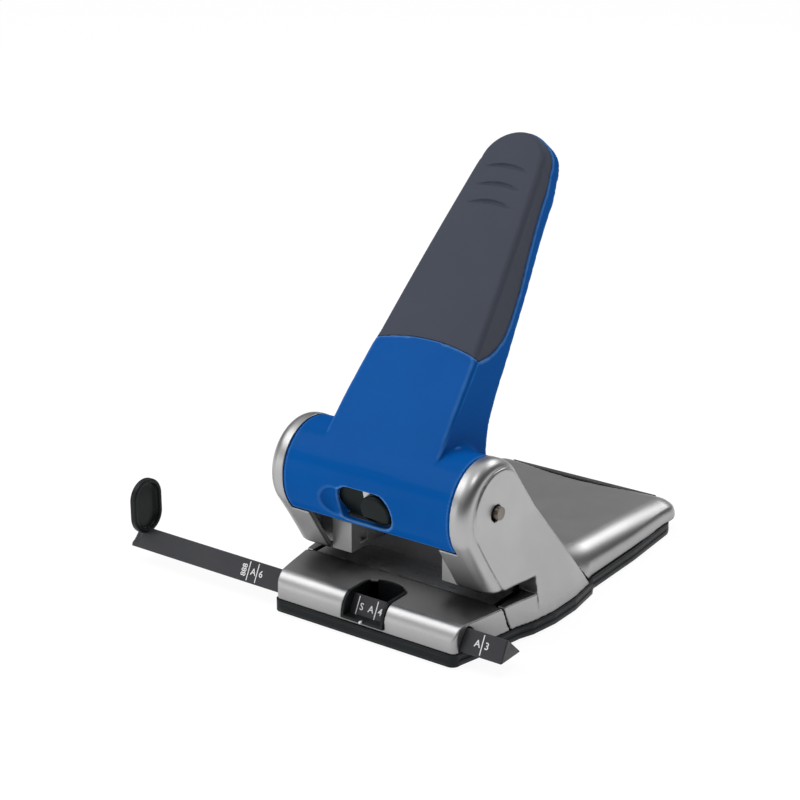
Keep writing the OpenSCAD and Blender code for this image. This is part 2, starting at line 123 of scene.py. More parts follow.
def surface(field, low, high, step):
    """Vertices, quads and normals of the zero level of a field, by surface nets."""
    step = np.ones(3) * step
    axes = [np.arange(a - s, b + 2 * s, s) for a, b, s in zip(low, high, step)]
    shape = tuple(len(a) for a in axes)
    grid = np.broadcast_to(field(axes[0][:, None, None], axes[1][None, :, None],
                                 axes[2][None, None, :]), shape)
    inside = grid < 0
    cells = tuple(n - 1 for n in shape)
    count = np.zeros(cells, np.int8)
    for i, j, k in CORNERS:
        count += inside[i:cells[0] + i, j:cells[1] + j, k:cells[2] + k]
    active = (count > 0) & (count < 8)
    number = np.full(cells, -1, np.int32)
    number[active] = np.arange(active.sum())
    cell = np.argwhere(active)
    total, hits = np.zeros((len(cell), 3)), np.zeros(len(cell))
    for a, b in EDGES:
        fa = grid[tuple((cell + CORNERS[a]).T)]
        fb = grid[tuple((cell + CORNERS[b]).T)]
        cross = (fa < 0) != (fb < 0)
        share = np.where(cross, fa / np.where(cross, fa - fb, 1), 0)
        spot = CORNERS[a] + share[:, None] * (CORNERS[b] - CORNERS[a])
        total[cross] += spot[cross]
        hits += cross
    start = np.array([a[0] for a in axes])
    points = start + step * (cell + total / hits[:, None])
    limit = 0.4 * step.min()
    for _ in range(3):
        value, gradient = slope_of(field, points)
        size = np.linalg.norm(gradient, axis=1) + 1e-9
        move = np.clip(value / size, -limit, limit) / size
        points -= move[:, None] * gradient
    _, gradient = slope_of(field, points)
    quads = []
    for axis in range(3):
        b, c = (axis + 1) % 3, (axis + 2) % 3
        here = [slice(1, n - 1) for n in shape]
        there = list(here)
        here[axis], there[axis] = slice(0, shape[axis] - 1), slice(1, shape[axis])
        change = inside[tuple(here)] != inside[tuple(there)]
        spots = np.argwhere(change)
        spots[:, b] += 1
        spots[:, c] += 1
        ring = []
        for db, dc in ((-1, -1), (0, -1), (0, 0), (-1, 0)):
            at = spots.copy()
            at[:, b] += db
            at[:, c] += dc
            ring.append(number[tuple(at.T)])
        ring = np.stack(ring, 1)
        leaving = inside[tuple(spots.T)]
        quads.append(np.where(leaving[:, None], ring, ring[:, ::-1]))
    normals = gradient / (np.linalg.norm(gradient, axis=1, keepdims=True) + 1e-9)
    return points, np.concatenate(quads), normals


def mesh_object(name, points, quads, normals=None):
    """A smooth-shaded mesh object from arrays in millimetres."""
    mesh = bpy.data.meshes.new(name)
    mesh.vertices.add(len(points))
    mesh.vertices.foreach_set("co", (points * MM).astype(np.float32).ravel())
    sides = quads.shape[1]
    mesh.loops.add(quads.size)
    mesh.loops.foreach_set("vertex_index", quads.astype(np.int32).ravel())
    mesh.polygons.add(len(quads))
    mesh.polygons.foreach_set("loop_start", np.arange(0, quads.size, sides, dtype=np.int32))
    mesh.polygons.foreach_set("use_smooth", np.ones(len(quads), bool))
    mesh.update(calc_edges=True)
    mesh.validate()
    if normals is not None:
        mesh.normals_split_custom_set_from_vertices(normals.tolist())
    piece = bpy.data.objects.new(name, mesh)
    bpy.context.scene.collection.objects.link(piece)
    return piece


def solid(name, field, low, high, step, side=1, place=None):
    """A piece from a field. side -1 mirrors it in x, and place moves points to the frame."""
    points, quads, normals = surface(field, low, high, step)
    if place is not None:
        points, normals = place(points, normals)
    if side < 0:
        flip = np.array([-1, 1, 1])
        points, normals, quads = points * flip, normals * flip, quads[:, ::-1]
    return mesh_object(name, points, quads, normals)


def finish(piece, material, body, slot, *nodes):
    """Gives a piece its material and body, and hides the CAD nodes it replaces. Its slot argument is not used."""
    piece.data.materials.clear()
    piece.data.materials.append(material)
    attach(piece, body)
    if nodes:
        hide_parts(*nodes)
    return piece


# ---------------------------------------------------------------- materials

def material(name, colour, rough, metal=0.0, coat=0.0, vary=0.06, grain=900, bump=0.03,
             stretch=(1, 1, 1), rough_vary=0.06, coat_rough=0.1, shine=0.5, painted_crevice_shade=0.0,
             painted_edge_highlight=0.0, painted_highlight_colour=(0.5, 0.5, 0.5)):
    """A painted, moulded or metal finish with fine grain and tone variation, painted highlights along convex edges
    and painted shade in crevices."""
    made = bpy.data.materials.new(name)
    made.use_nodes = True
    tree = made.node_tree
    nodes, links = tree.nodes, tree.links
    shader = nodes["Principled BSDF"]
    shader.inputs["Metallic"].default_value = metal
    shader.inputs["Specular IOR Level"].default_value = shine
    shader.inputs["Coat Weight"].default_value = coat
    shader.inputs["Coat Roughness"].default_value = coat_rough

    place = nodes.new("ShaderNodeTexCoord")
    scale = nodes.new("ShaderNodeMapping")
    scale.inputs["Scale"].default_value = stretch
    links.new(place.outputs["Object"], scale.inputs["Vector"])

    def noise(size, detail):
        node = nodes.new("ShaderNodeTexNoise")
        node.inputs["Scale"].default_value = size
        node.inputs["Detail"].default_value = detail
        links.new(scale.outputs["Vector"], node.inputs["Vector"])
        return node.outputs["Fac"]

    def tone(factor):
        return tuple(min(c * factor, 1) for c in colour) + (1,)

    clouds = nodes.new("ShaderNodeValToRGB")
    clouds.color_ramp.elements[0].position = 0.35
    clouds.color_ramp.elements[1].position = 0.65
    clouds.color_ramp.elements[0].color = tone(1 - vary)
    clouds.color_ramp.elements[1].color = tone(1 + vary)
    links.new(noise(45, 4), clouds.inputs["Fac"])
    base = clouds.outputs["Color"]
    # Painted highlight: convex edges, found by pointiness, are mixed towards a lighter colour in place of
    # reflections
    if painted_edge_highlight:
        edge = nodes.new("ShaderNodeNewGeometry")
        highlight_band = nodes.new("ShaderNodeMapRange")
        highlight_band.inputs["From Min"].default_value = 0.508
        highlight_band.inputs["From Max"].default_value = 0.56
        highlight_band.inputs["To Max"].default_value = painted_edge_highlight
        links.new(edge.outputs["Pointiness"], highlight_band.inputs["Value"])
        highlight_mix = nodes.new("ShaderNodeMix")
        highlight_mix.data_type = "RGBA"
        links.new(highlight_band.outputs["Result"], highlight_mix.inputs["Factor"])
        links.new(base, highlight_mix.inputs["A"])
        highlight_mix.inputs["B"].default_value = (*painted_highlight_colour, 1)
        base = highlight_mix.outputs["Result"]
    # Painted shade: the base colour is darkened where ambient occlusion finds nearby surfaces, in place of shade
    # in crevices and the throat
    if painted_crevice_shade:
        crevice_occlusion = nodes.new("ShaderNodeAmbientOcclusion")
        crevice_occlusion.samples = 8
        crevice_occlusion.inputs["Distance"].default_value = 0.06
        depth = nodes.new("ShaderNodeMapRange")
        depth.inputs["From Min"].default_value = 0.25
        depth.inputs["From Max"].default_value = 0.75
        depth.inputs["To Min"].default_value = 1 - painted_crevice_shade
        links.new(crevice_occlusion.outputs["AO"], depth.inputs["Value"])
        shade_darken = nodes.new("ShaderNodeMix")
        shade_darken.data_type, shade_darken.blend_type = "RGBA", "MULTIPLY"
        shade_darken.inputs["Factor"].default_value = 1
        links.new(base, shade_darken.inputs["A"])
        links.new(depth.outputs["Result"], shade_darken.inputs["B"])
        base = shade_darken.outputs["Result"]
    links.new(base, shader.inputs["Base Color"])

    spread = nodes.new("ShaderNodeMapRange")
    spread.inputs["From Min"].default_value = 0.3
    spread.inputs["From Max"].default_value = 0.7
    spread.inputs["To Min"].default_value = rough - rough_vary
    spread.inputs["To Max"].default_value = rough + rough_vary
    links.new(noise(120, 3), spread.inputs["Value"])
    links.new(spread.outputs["Result"], shader.inputs["Roughness"])

    relief = nodes.new("ShaderNodeBump")
    relief.inputs["Strength"].default_value = bump
    relief.inputs["Distance"].default_value = 0.0002
    links.new(noise(grain, 2), relief.inputs["Height"])
    links.new(relief.outputs["Normal"], shader.inputs["Normal"])
    return made


# The blue's lighter convex edges are painted highlights
BLUE = material("blue_lacquer", (0.003, 0.096, 0.385), 0.3, coat=0.06, vary=0.03, grain=500,
                bump=0.01, coat_rough=0.12, painted_edge_highlight=0.55, painted_highlight_colour=(0.16, 0.36, 0.72), shine=0.0)
GRIP = material("soft_grip", (0.074, 0.082, 0.108), 0.5, vary=0.02, grain=900, bump=0.02,
                rough_vary=0.01, shine=0.03)
# The silver is darkened in crevices by painted shade
SILVER = material("silver_lacquer", (0.44, 0.44, 0.44), 0.38, metal=0.95, vary=0.03, grain=700,
                  bump=0.01, rough_vary=0.012, painted_crevice_shade=0.8)
STEEL = material("zinc_steel", (0.50, 0.51, 0.52), 0.32, metal=1.0, grain=500, bump=0.03,
                 stretch=(1, 6, 6))
TOOL_STEEL = material("ground_steel", (0.62, 0.61, 0.59), 0.24, metal=1.0, grain=600,
                      bump=0.03, stretch=(1, 1, 8))
DARK_STEEL = material("dark_steel", (0.12, 0.12, 0.125), 0.38, metal=1.0, grain=700)
PIN_STEEL = material("pivot_steel", (0.17, 0.15, 0.13), 0.3, metal=1.0, vary=0.3, grain=900,
                     bump=0.3)
BRASS = material("turned_brass", (0.55, 0.38, 0.13), 0.3, metal=1.0, grain=700)
TRAY = material("black_tray", (0.013, 0.016, 0.018), 0.42, vary=0.1, grain=800, bump=0.05,
                shine=0.12)
BLACK = material("black_plastic", (0.011, 0.014, 0.015), 0.36, vary=0.1, grain=800, bump=0.04,
                 shine=0.15)
RAIL = material("rail_plastic", (0.036, 0.037, 0.043), 0.42, vary=0.06, grain=800, bump=0.05,
                shine=0.35)
LOCK_BLACK = material("lock_black", (0.006, 0.011, 0.011), 0.4, vary=0.1, grain=800, bump=0.03,
                      shine=0.12)
GUIDE = material("guide_lacquer", (0.42, 0.42, 0.42), 0.42, metal=0.45, vary=0.04, grain=700,
                 bump=0.02)
RUBBER = material("foot_rubber", (0.012, 0.012, 0.012), 0.75, vary=0.15, grain=700, bump=0.1)
WHITE = material("white_print", (0.85, 0.85, 0.85), 0.5, vary=0.02, grain=700)

SLOT_FINISH = {"black_tray": TRAY, "rubber": RUBBER, "silver_paint": SILVER,
               "frame_steel": STEEL, "tool_steel": TOOL_STEEL, "dark_steel": DARK_STEEL,
               "blue_paint": BLUE, "grip_rubber": GRIP, "black_plastic": BLACK,
               "rail_grey": RAIL, "brass": BRASS, "white_mark": WHITE}


# ---------------------------------------------------------------- lever

# The lever's frame: x across, s from the pivot towards the tip, n out of its top face
LEVER_ANGLE = math.radians(46)
BARREL_R = 24.9
BARREL_IN_R = 22.9
LEVER_TOP = 26.6
LEVER_CROWN = 0.0013
TIP_S = 170
TIP_R = 18
GRIP_T = 1.8
LEVER_WALL = 4.0
# Where the three grooves of the grip cross its middle
GROOVES = (145.7, 156.2, 167)
# Lower edge of the lever's side walls, and edge of the grip on them, as (s, n)
RIM = [(26, -16), (29, -13), (32.5, -9.8), (39, -5.7), (47, -2.7), (60, -0.5), (75, 0.6), (92, 2.5),
       (110, 3.9), (134, 6.6), (157, 8), (170, 9.2), (180, 11), (190, 14)]
STEP = [(0, 23.4), (61.5, 23.4), (64.5, 20.5), (67.7, 17.2), (71, 14.4), (75, 11.9), (82, 8.9),
        (89, 8.0), (96, 8.3), (103, 8.7), (110, 9.4), (124, 12.0), (140, 14), (154, 15.3),
        (167, 16.2), (178, 17.5), (186, 21), (192, 24)]


def lever_to_frame(points, normals):
    c, s = math.cos(LEVER_ANGLE), math.sin(LEVER_ANGLE)
    turn = np.array([[1, 0, 0], [0, c, -s], [0, s, c]])
    return points @ turn.T + [0, PIVOT_Y, PIVOT_Z], normals @ turn.T


def rim_line(s):
    return along(RIM, s, 2.5)


def step_line(s):
    return along(STEP, s, 1.5)


def top_line(s):
    return BARREL_R + (LEVER_TOP - BARREL_R) * fade(s / 35) - 0.8 * fade(-s / 5)


def side_walls(x, s, n, out=0.0):
    """The lever's outline, wider towards the rim and most of all at the tip."""
    grown = out + (0.045 + 0.085 * fade((s - 145) / 30)) * (LEVER_TOP - n)
    width = 33.3 - 0.05 * s - 0.00022 * s ** 2
    nose = np.hypot(x, np.maximum(s - TIP_S, 0)) - TIP_R - 0.4 * np.maximum(TIP_S - s, 0)
    return meet(np.abs(x) - width, nose, 1) - grown


def lever_upper(x, s, n):
    top = n - top_line(s) + LEVER_CROWN * x ** 2
    crease = 1.2 + 1.6 * fade((s - 58) / 10)
    return meet(side_walls(x, s, n), top, crease)


def grip_area(x, s, n):
    return meet(67.2 - 0.0048 * x ** 2 - s, step_line(s) - n)


def turned(s, n, angle):
    """Coordinates along a direction at this angle in the lever's frame, and across it."""
    c, d = math.cos(math.radians(angle)), math.sin(math.radians(angle))
    return s * c + n * d, n * c - s * d


def barrel_sector(s, n):
    """The open lower part of the barrel, from its front edge round to its rear edge."""
    _, rear = turned(s, n, -31)
    _, front = turned(s, n, 177)
    return np.maximum(rear, -front)


# The lock window faces forwards and a little down. Its parts lie at these depths behind it
WINDOW_ANGLE = 147.5
LOCK_FLOOR, LOCK_STEP, LOCK_KNOB = 17.3, 19.6, 22.2
KNOB_X, KNOB_R = 5.2, 8.5


def window_hole(x, s, n):
    depth, across = turned(s, n, WINDOW_ANGLE)
    outline = np.hypot(np.maximum(np.abs(x + 1.8) - 7.6, 0), across) - 9.75
    return meet(outline, -depth)


def thumb_scoop(x, s, n):
    depth, across = turned(s, n, WINDOW_ANGLE)
    a, b, c = (x + 18.6) / 8.6, (depth - 26.5) / 6, across / 9
    return (np.sqrt(a * a + b * b + c * c) - 1) * 6


def handle_shell(x, s, n):
    upper = lever_upper(x, s, n)
    shoulder = side_walls(x, s, n, 0.9 * fade((s - 12) / 45))
    lower = meet(shoulder, n - step_line(s), 0.7)
    lever = meet(join(upper, lower, 0.9), -s - 4)
    r = np.hypot(s, n)
    barrel = meet(r - BARREL_R, np.abs(x) - 48.4, 0.7)
    collar = meet(r - 24.2, np.abs(x) - 50, 0.3)
    fillet = 0.8 + 3.7 * fade((23 - n) / 14)
    outer = join(join(lever, barrel, fillet), collar, 0.3)
    inner = join(meet(upper + LEVER_WALL, 3 - s), r - BARREL_IN_R, 0.5)
    depth, across = turned(s, n, WINDOW_ANGLE)
    boss = meet(np.hypot(np.maximum(np.abs(x + 5) - 12, 0), across) - 12, -depth)
    inner = cut(inner, meet(boss, 21.6 - r, 0.5), 0.5)
    thick = meet(np.hypot(x + 20, across) - 10, -depth)
    inner = cut(inner, meet(thick, 18.2 - r, 0.5), 0.5)
    shell = cut(outer, inner, 0.3)
    shell = meet(shell, rim_line(s) - n, 0.5)
    shell = cut(shell, barrel_sector(s, n), 0.5)
    shell = cut(shell, thumb_scoop(x, s, n), 0.9)
    shell = cut(shell, window_hole(x, s, n), 0.6)
    pocket = meet(-upper - GRIP_T - 0.05, grip_area(x, s, n) - 0.12)
    return cut(shell, pocket, 0.35)


def grip_pad(x, s, n):
    upper = lever_upper(x, s, n)
    pad = meet(meet(upper, -upper - GRIP_T, 0.2), grip_area(x, s, n), 0.4)
    top = n - LEVER_TOP + LEVER_CROWN * x ** 2
    for start in GROOVES:
        line = s - start + 0.012 * x ** 2
        groove = np.hypot(line, top) - 1.25 * (1 - (x / 13.5) ** 2)
        pad = cut(pad, groove, 0.2)
    return pad


def handle_liner(x, s, n):
    """Black floor of the hollow lever, a little proud of the rim near the barrel."""
    inside = lever_upper(x, s, n) + LEVER_WALL + 0.1
    below = rim_line(s) - n - 0.9
    plate = meet(inside, below, 1)
    plate = cut(plate, below + 2.6, 0.3)
    plate = meet(plate, 24.5 - s, 0.4)
    for spot in (60, 150):
        plate = cut(plate, np.hypot(x, s - spot) - 3.3, 0.3)
    return plate


def lock_floor(x, s, n):
    """Dark plate under the lock knob, which the knob slides on."""
    depth, across = turned(s, n, WINDOW_ANGLE)
    outline = np.maximum(np.abs(x + 2.5) - 20, np.abs(across) - 12)
    return meet(np.abs(depth - LOCK_FLOOR) - 0.6, outline, 0.4)


def lock_step(x, s, n):
    """Bare metal step beside the knob, in the upper half of the window."""
    depth, across = turned(s, n, WINDOW_ANGLE)
    outline = np.maximum(np.abs(x - 0.6) - 3.8, np.abs(across + 5) - 5)
    return meet(np.abs(depth - LOCK_STEP) - 0.35, outline, 0.2)


def lock_knob(x, s, n):
    depth, across = turned(s, n, WINDOW_ANGLE)
    return meet(np.hypot(x - KNOB_X, across) - KNOB_R, np.abs(depth - LOCK_KNOB) - 1.8, 1.5)


def make_lever():
    shell = solid("handle_shell_skin", handle_shell, (-49.5, -25.5, -25.5), (49.5, 190, 27.5), 0.8,
                  place=lever_to_frame)
    finish(shell, BLUE, "lever", "blue_paint", "handle_shell")
    grip = solid("grip_pad_skin", grip_pad, (-31, 60, -2), (31, 189, 27.5), 0.62,
                 place=lever_to_frame)
    finish(grip, GRIP, "lever", "grip_rubber", "grip_pad")
    liner = solid("handle_liner_skin", handle_liner, (-29, 23, -16), (29, 187, 16), 0.9,
                  place=lever_to_frame)
    finish(liner, BLACK, "lever", "black_plastic", "handle_liner")
    plate = solid("lock_plate_skin", lock_floor, (-24, -26, -2), (19, -2, 23), 0.45,
                  place=lever_to_frame)
    finish(plate, LOCK_BLACK, "lever", "frame_steel", "lock_plate")
    step = solid("lock_step_skin", lock_step, (-4, -24, 0), (5, -4, 22), 0.3, place=lever_to_frame)
    finish(step, STEEL, "lever", "frame_steel")
    knob = solid("lock_knob_skin", lock_knob, (-4, -22, 3), (15, -5, 23), 0.42,
                 place=lever_to_frame)
    finish(knob, LOCK_BLACK, "lock", "black_plastic", "lock_knob")


# ---------------------------------------------------------------- towers

BASE_FRONT = -44.5
BASE_REAR = 162.5
COVER_REAR = 171.8
TABLE_Z = 20.9
THROAT_TOP = 28.6
# The gap between the front cover and the tower's foot leans back this much per millimetre down
GAP_SLOPE = 0.39
TRAY_TOP = 7.4
# A tower is a strap round the pivot: a circle with straight tangents to the front and rear
RIM_X = 49.0
FACE_X = 58.2
CHEEK_R = 25.1
FACE_R = 20.6
FRONT = Vector((-0.831, -0.556))
REAR = Vector((0.792, 0.611))
SIDE = [(-40, 54.6), (-28.5, 57.3), (0, 62.7), (8, 65.6), (24, 68.2), (43, 68.5), (64, 66),
        (68.5, 63.2), (112, 63.2), (150, 61.4)]


def plan(x, y, rear=BASE_REAR):
    """Outline of the base from above."""
    front = meet(np.abs(x) - along(SIDE, y, 3), BASE_FRONT - y, 4)
    return meet(front, y - rear, 12)


def strap(y, z, centre_y, radius):
    dy, dz = y - centre_y, z - PIVOT_Z
    front = FRONT.x * dy + FRONT.y * dz
    rear = REAR.x * dy + REAR.y * dz
    round_top = np.where((FRONT.y * dy - FRONT.x * dz < 0) | (REAR.x * dz - REAR.y * dy < 0),
                         -radius, np.hypot(dy, dz) - radius)
    return np.maximum(np.maximum(front, rear) - radius, round_top), front, rear


def behind_tower(y, z):
    return REAR.x * (y - PIVOT_Y) + REAR.y * (z - PIVOT_Z) - CHEEK_R


def cheek(x, y, z):
    """A tower: the strap with its bell round the barrel's end, its jaw and its foot."""
    ax = np.abs(x)
    outline, _, rear = strap(y, z, PIVOT_Y, CHEEK_R)
    lean = np.clip((62 - z) / 54, 0, 1) ** 1.1
    flare = (along(SIDE, y, 3) - 0.9 - FACE_X) * lean
    shoulder = 4.6 * fade((34 - rear) / 14) + 0.5
    body = meet(outline, ax - FACE_X - flare, 0.1)
    from_face = np.maximum(ax - FACE_X - flare + 1.25 * shoulder, 0)
    soft = np.hypot(np.maximum(outline + shoulder, 0), 0.8 * from_face)
    body = np.maximum(body, soft - shoulder)
    plate, _, _ = strap(y, z, PIVOT_Y + 2.4, FACE_R)
    plate = meet(meet(plate, rear - CHEEK_R), ax - FACE_X - flare - 1.0, 1.4)
    body = np.minimum(body, meet(plate, 54 - ax))
    dy, dz = y - PIVOT_Y, z - PIVOT_Z
    rise = FRONT.y * dy - FRONT.x * dz
    arm = join(meet(38.5 - ax, rise + 4.8, 0.5), RIM_X - ax, 0.5)
    body = meet(body, arm, 0.4)
    sheet = 2.3 + 0.4 * fade(-rise / 6)
    body = cut(body, meet(ax - 53.6, np.minimum(outline, 0) + sheet), 0.3)
    body = cut(body, meet(ax - 53.6, -0.5 - y))
    jaw = meet(body, THROAT_TOP - z, 3.2)
    back = meet(body, 12.5 - y)
    foot = meet(GAP_SLOPE * (TABLE_Z - z) - 10.4 - y, y - 14)
    foot = meet(meet(ax - FACE_X - flare - 0.6, z - TABLE_Z, 0.5), foot, 0.4)
    foot = cut(foot, ax - 56)
    tower = np.minimum(np.minimum(jaw, back), foot)
    low = np.where(z < 26, plan(x, y) + 0.9, -1)
    tower = meet(meet(tower, low), TRAY_TOP - z, 0.3)
    bore = meet(np.hypot(dy + 0.5, dz + 0.2) - 3.9, 55 - ax)
    return cut(tower, bore, 0.4)


def make_towers():
    points, quads, normals = surface(cheek, (38, -50, 7), (69, 67, 103), 0.85)
    for side, name in ((1, "right"), (-1, "left")):
        flip = np.array([side, 1, 1])
        order = quads if side > 0 else quads[:, ::-1]
        piece = mesh_object(f"cheek_{name}_skin", points * flip, order, normals * flip)
        finish(piece, SILVER, "base", "silver_paint", f"cheek_{name}")


# ---------------------------------------------------------------- base

RAIL_FRONT, RAIL_RIDGE, RAIL_REAR = (-39.9, 8.4), (-34.3, 19.2), (-23, 8.4)


def rail_section(y, z):
    """Distance to the triangular section of the guide rail."""
    lines = []
    corners = (RAIL_REAR, RAIL_RIDGE, RAIL_FRONT)
    for (y0, z0), (y1, z1) in zip(corners, corners[1:] + corners[:1]):
        length = math.hypot(y1 - y0, z1 - z0)
        lines.append(((y - y0) * (z1 - z0) - (z - z0) * (y1 - y0)) / length)
    return meet(meet(lines[0], lines[1], 0.5), lines[2], 0.5)


def window_outline(x, y):
    """The index window: straight sides up the bevel, then a low arch on the table."""
    return np.where(y < -26.5, np.abs(x) - 12.6, oval(np.abs(x), y + 26.5, 12.6, 8.3))


def cover_profile(y, z):
    return oval(-36.1 - y, z - 8.3, 8, 12.6)


def front_cover(x, y, z):
    outer = meet(plan(x, y) + 0.8, cover_profile(y, z), 0.7)
    inner = meet(plan(x, y) + 2.2, cover_profile(y, z) + 1.4, 0.5)
    shell = cut(outer, inner, 0.2)
    end = np.where(np.abs(x) < 56, y + 9.8, y + 11.4 - GAP_SLOPE * (TABLE_Z - z))
    shell = meet(meet(shell, TRAY_TOP - z, 0.3), end, 0.2)
    shell = cut(shell, rail_section(y, z) - 0.5, 0.25)
    return cut(shell, meet(window_outline(x, y), 9.2 - z), 0.3)


ROOF = [(14, 45), (24, 45), (40, 31), (66, 23.4), (120, 20.4), (157, 17.8), (175, 16.9)]


def rear_body(x, y, z, inset):
    roof = along(ROOF, y, 6)
    edge = np.hypot(np.maximum(np.abs(x) - 48, 0), np.maximum(y - 157, 0))
    bevel = oval(edge, z - 8.4, 14.4 - inset, roof - 8.4 - inset)
    wide = meet(plan(x, y, COVER_REAR) + 0.8 + inset, bevel, 2.2)
    wide = meet(wide, 0.35 + inset - behind_tower(y, z), 0.3)
    middle = meet(np.abs(x) - 50.3 + inset, 22.3 + inset - y)
    middle = meet(middle, z - roof + inset, 1)
    return np.minimum(wide, meet(middle, y - 70))


def rear_cover(x, y, z):
    shell = cut(rear_body(x, y, z, 0), rear_body(x, y, z, 1.6), 0.2)
    shell = meet(shell, TRAY_TOP - z, 0.3)
    tab = meet(np.abs(x) - 46.5, 156.5 + 8 * (x / 46) ** 2 - y)
    drawer = meet(meet(np.abs(x) - 46.5, 150 - y), z - 13)
    return cut(cut(shell, tab, 0.4), drawer, 0.3)


def outline_loop(count):
    """Points of the base outline from above, and the outward direction at each."""
    half = [np.array((x, y)) for y, x in SIDE]
    front = [np.array((50.6 + 4 * math.cos(a), BASE_FRONT + 4 + 4 * math.sin(a)))
             for a in np.radians(np.linspace(-90, -8, 8))]
    rear = [np.array((49.4 + 12 * math.cos(a), BASE_REAR - 12 + 12 * math.sin(a)))
            for a in np.radians(np.linspace(4, 90, 12))]
    right = np.array(front + half + rear)
    loop = np.concatenate([right, (right * (-1, 1))[::-1]])
    gaps = np.linalg.norm(np.roll(loop, -1, 0) - loop, axis=1)
    walk = np.concatenate([[0], np.cumsum(gaps)])
    closed = np.concatenate([loop, loop[:1]])
    t = np.linspace(0, walk[-1], count, endpoint=False)
    even = np.stack([np.interp(t, walk, closed[:, k]) for k in range(2)], 1)
    for _ in range(3):
        even = (np.roll(even, 1, 0) + 2 * even + np.roll(even, -1, 0)) / 4
    ahead = np.roll(even, -1, 0) - np.roll(even, 1, 0)
    ahead /= np.linalg.norm(ahead, axis=1, keepdims=True)
    return even, np.stack([ahead[:, 1], -ahead[:, 0]], 1)


# Section of the tray's edge, as (distance out of the outline, height): two lips with a
# narrow channel between them
TRAY_EDGE = [(-2.6, 1.25), (-0.9, 1.2), (-0.2, 1.45), (0.25, 1.9), (0.3, 3.7), (0.1, 4.3),
             (-0.45, 4.5), (-0.8, 4.8), (-0.8, 5.1), (-0.35, 5.35), (0.0, 5.6), (0.05, 7.0),
             (-0.15, 7.45), (-0.55, 7.6), (-2.1, 7.6), (-2.5, 7.3), (-2.6, 6.8)]


def make_tray_edge():
    spine, out = outline_loop(420)
    # The chip drawer comes out over a lower piece of the edge
    lower = (spine[:, 1] > 158) & (np.abs(spine[:, 0]) < 48)
    rings = [np.column_stack([spine + out * d, np.where(lower, min(h, 2.9 + 0.1 * h), h)])
             for d, h in TRAY_EDGE]
    rows, count = len(rings), len(spine)
    points = np.concatenate(rings)
    i, j = np.meshgrid(np.arange(rows), np.arange(count), indexing="ij")
    up, on = (i + 1) % rows, (j + 1) % count
    quads = np.stack([i * count + j, i * count + on, up * count + on, up * count + j], -1)
    edge = mesh_object("tray_edge", points, quads.reshape(-1, 4))
    finish(edge, TRAY, "base", "black_tray")


def guide_rail(x, y, z):
    bar = meet(rail_section(y, z), np.abs(x + 38.75) - 116.25, 0.4)
    scoop = np.sqrt((x + 156) ** 2 + (y + 44) ** 2 + (z - 20.5) ** 2) - 11.5
    return cut(bar, scoop, 0.3)


def paper_stop(x, y, z):
    outline = np.hypot(y + 33.95, np.maximum(np.abs(z - 31) - 4.5, 0)) - 10.5
    plate = meet(outline, np.abs(x + 148.2) - 1.8, 0.8)
    dish = meet(outline + 2.1, -148.9 - x, 1.9)
    plate = cut(plate, dish, 0.5)
    return cut(plate, rail_section(y, z) + 0.05)


def lettering(name, text, size, x, height, turn=0.0):
    """Generic letters, raised a hair above the rail's front face."""
    curve = bpy.data.curves.new(name, "FONT")
    curve.body = text
    curve.size = size * MM
    curve.align_x = "CENTER"
    curve.align_y = "CENTER"
    curve.extrude = 0.03 * MM
    curve.offset = 0.06 * MM
    shape = bpy.data.objects.new(name + "_text", curve)
    bpy.context.scene.collection.objects.link(shape)
    bpy.context.view_layer.update()
    graph = bpy.context.evaluated_depsgraph_get()
    mesh = bpy.data.meshes.new_from_object(shape.evaluated_get(graph))
    bpy.data.objects.remove(shape)
    mesh.transform(Matrix.Rotation(math.radians(turn), 4, "Z"))
    set_on_rail(mesh, x, height)
    piece = bpy.data.objects.new(name, mesh)
    bpy.context.scene.collection.objects.link(piece)
    finish(piece, WHITE, "edge_guide", "white_mark")


def set_on_rail(mesh, x, height):
    """Moves a flat mesh from its own XY plane to the rail's sloping front face."""
    (y0, z0), (y1, z1) = RAIL_FRONT, RAIL_RIDGE
    rise = Vector((0, y1 - y0, z1 - z0)).normalized()
    out = Vector((0, -rise.z, rise.y))
    spot = Vector((x, y0, z0)) + rise * height + out * 0.04
    across = Vector((1, 0, 0))
    turn = Matrix((across, rise, out)).transposed().to_4x4()
    mesh.transform(Matrix.Translation(spot * MM) @ turn)


def mark_line(name, x, height, length, lean=0.0):
    """A straight index line up the rail's front face."""
    half_w, half_l = 0.28 * MM, length / 2 * MM
    mesh = bpy.data.meshes.new(name)
    deep = 0.03 * MM
    corners = [(sx * half_w, sy * half_l, h) for h in (-deep, deep)
               for sx, sy in ((-1, -1), (1, -1), (1, 1), (-1, 1))]
    walls = [(i, (i + 1) % 4, (i + 1) % 4 + 4, i + 4) for i in range(4)]
    mesh.from_pydata(corners, [], [(3, 2, 1, 0), (4, 5, 6, 7)] + walls)
    mesh.transform(Matrix.Rotation(math.radians(lean), 4, "Z"))
    set_on_rail(mesh, x, height)
    piece = bpy.data.objects.new(name, mesh)
    bpy.context.scene.collection.objects.link(piece)
    finish(piece, WHITE, "edge_guide", "white_mark")


# Index marks on the rail: name, place, and each letter with its distance from the line
MARKS = [("mark_a6", -71, [("A", -2.4), ("6", 2.5)]), ("mark_us", -7.5, [("S", 2.4)]),
         ("mark_a4", 3.5, [("A", -3.0), ("4", 2.4)]), ("mark_a3", 65, [("A", -2.6), ("3", 2.6)])]
MARK_HEIGHT, MARK_LENGTH = 6.1, 9.9


def make_marks():
    for name, x, letters in MARKS:
        mark_line(name + "_line", x, MARK_HEIGHT, MARK_LENGTH)
        for text, offset in letters:
            lettering(f"{name}_{text.lower()}", text, 4.9, x + offset, MARK_HEIGHT)
    mark_line("mark_888_line", -76.5, MARK_HEIGHT, MARK_LENGTH)
    lettering("mark_888", "888", 4.3, -79.2, MARK_HEIGHT, turn=90)


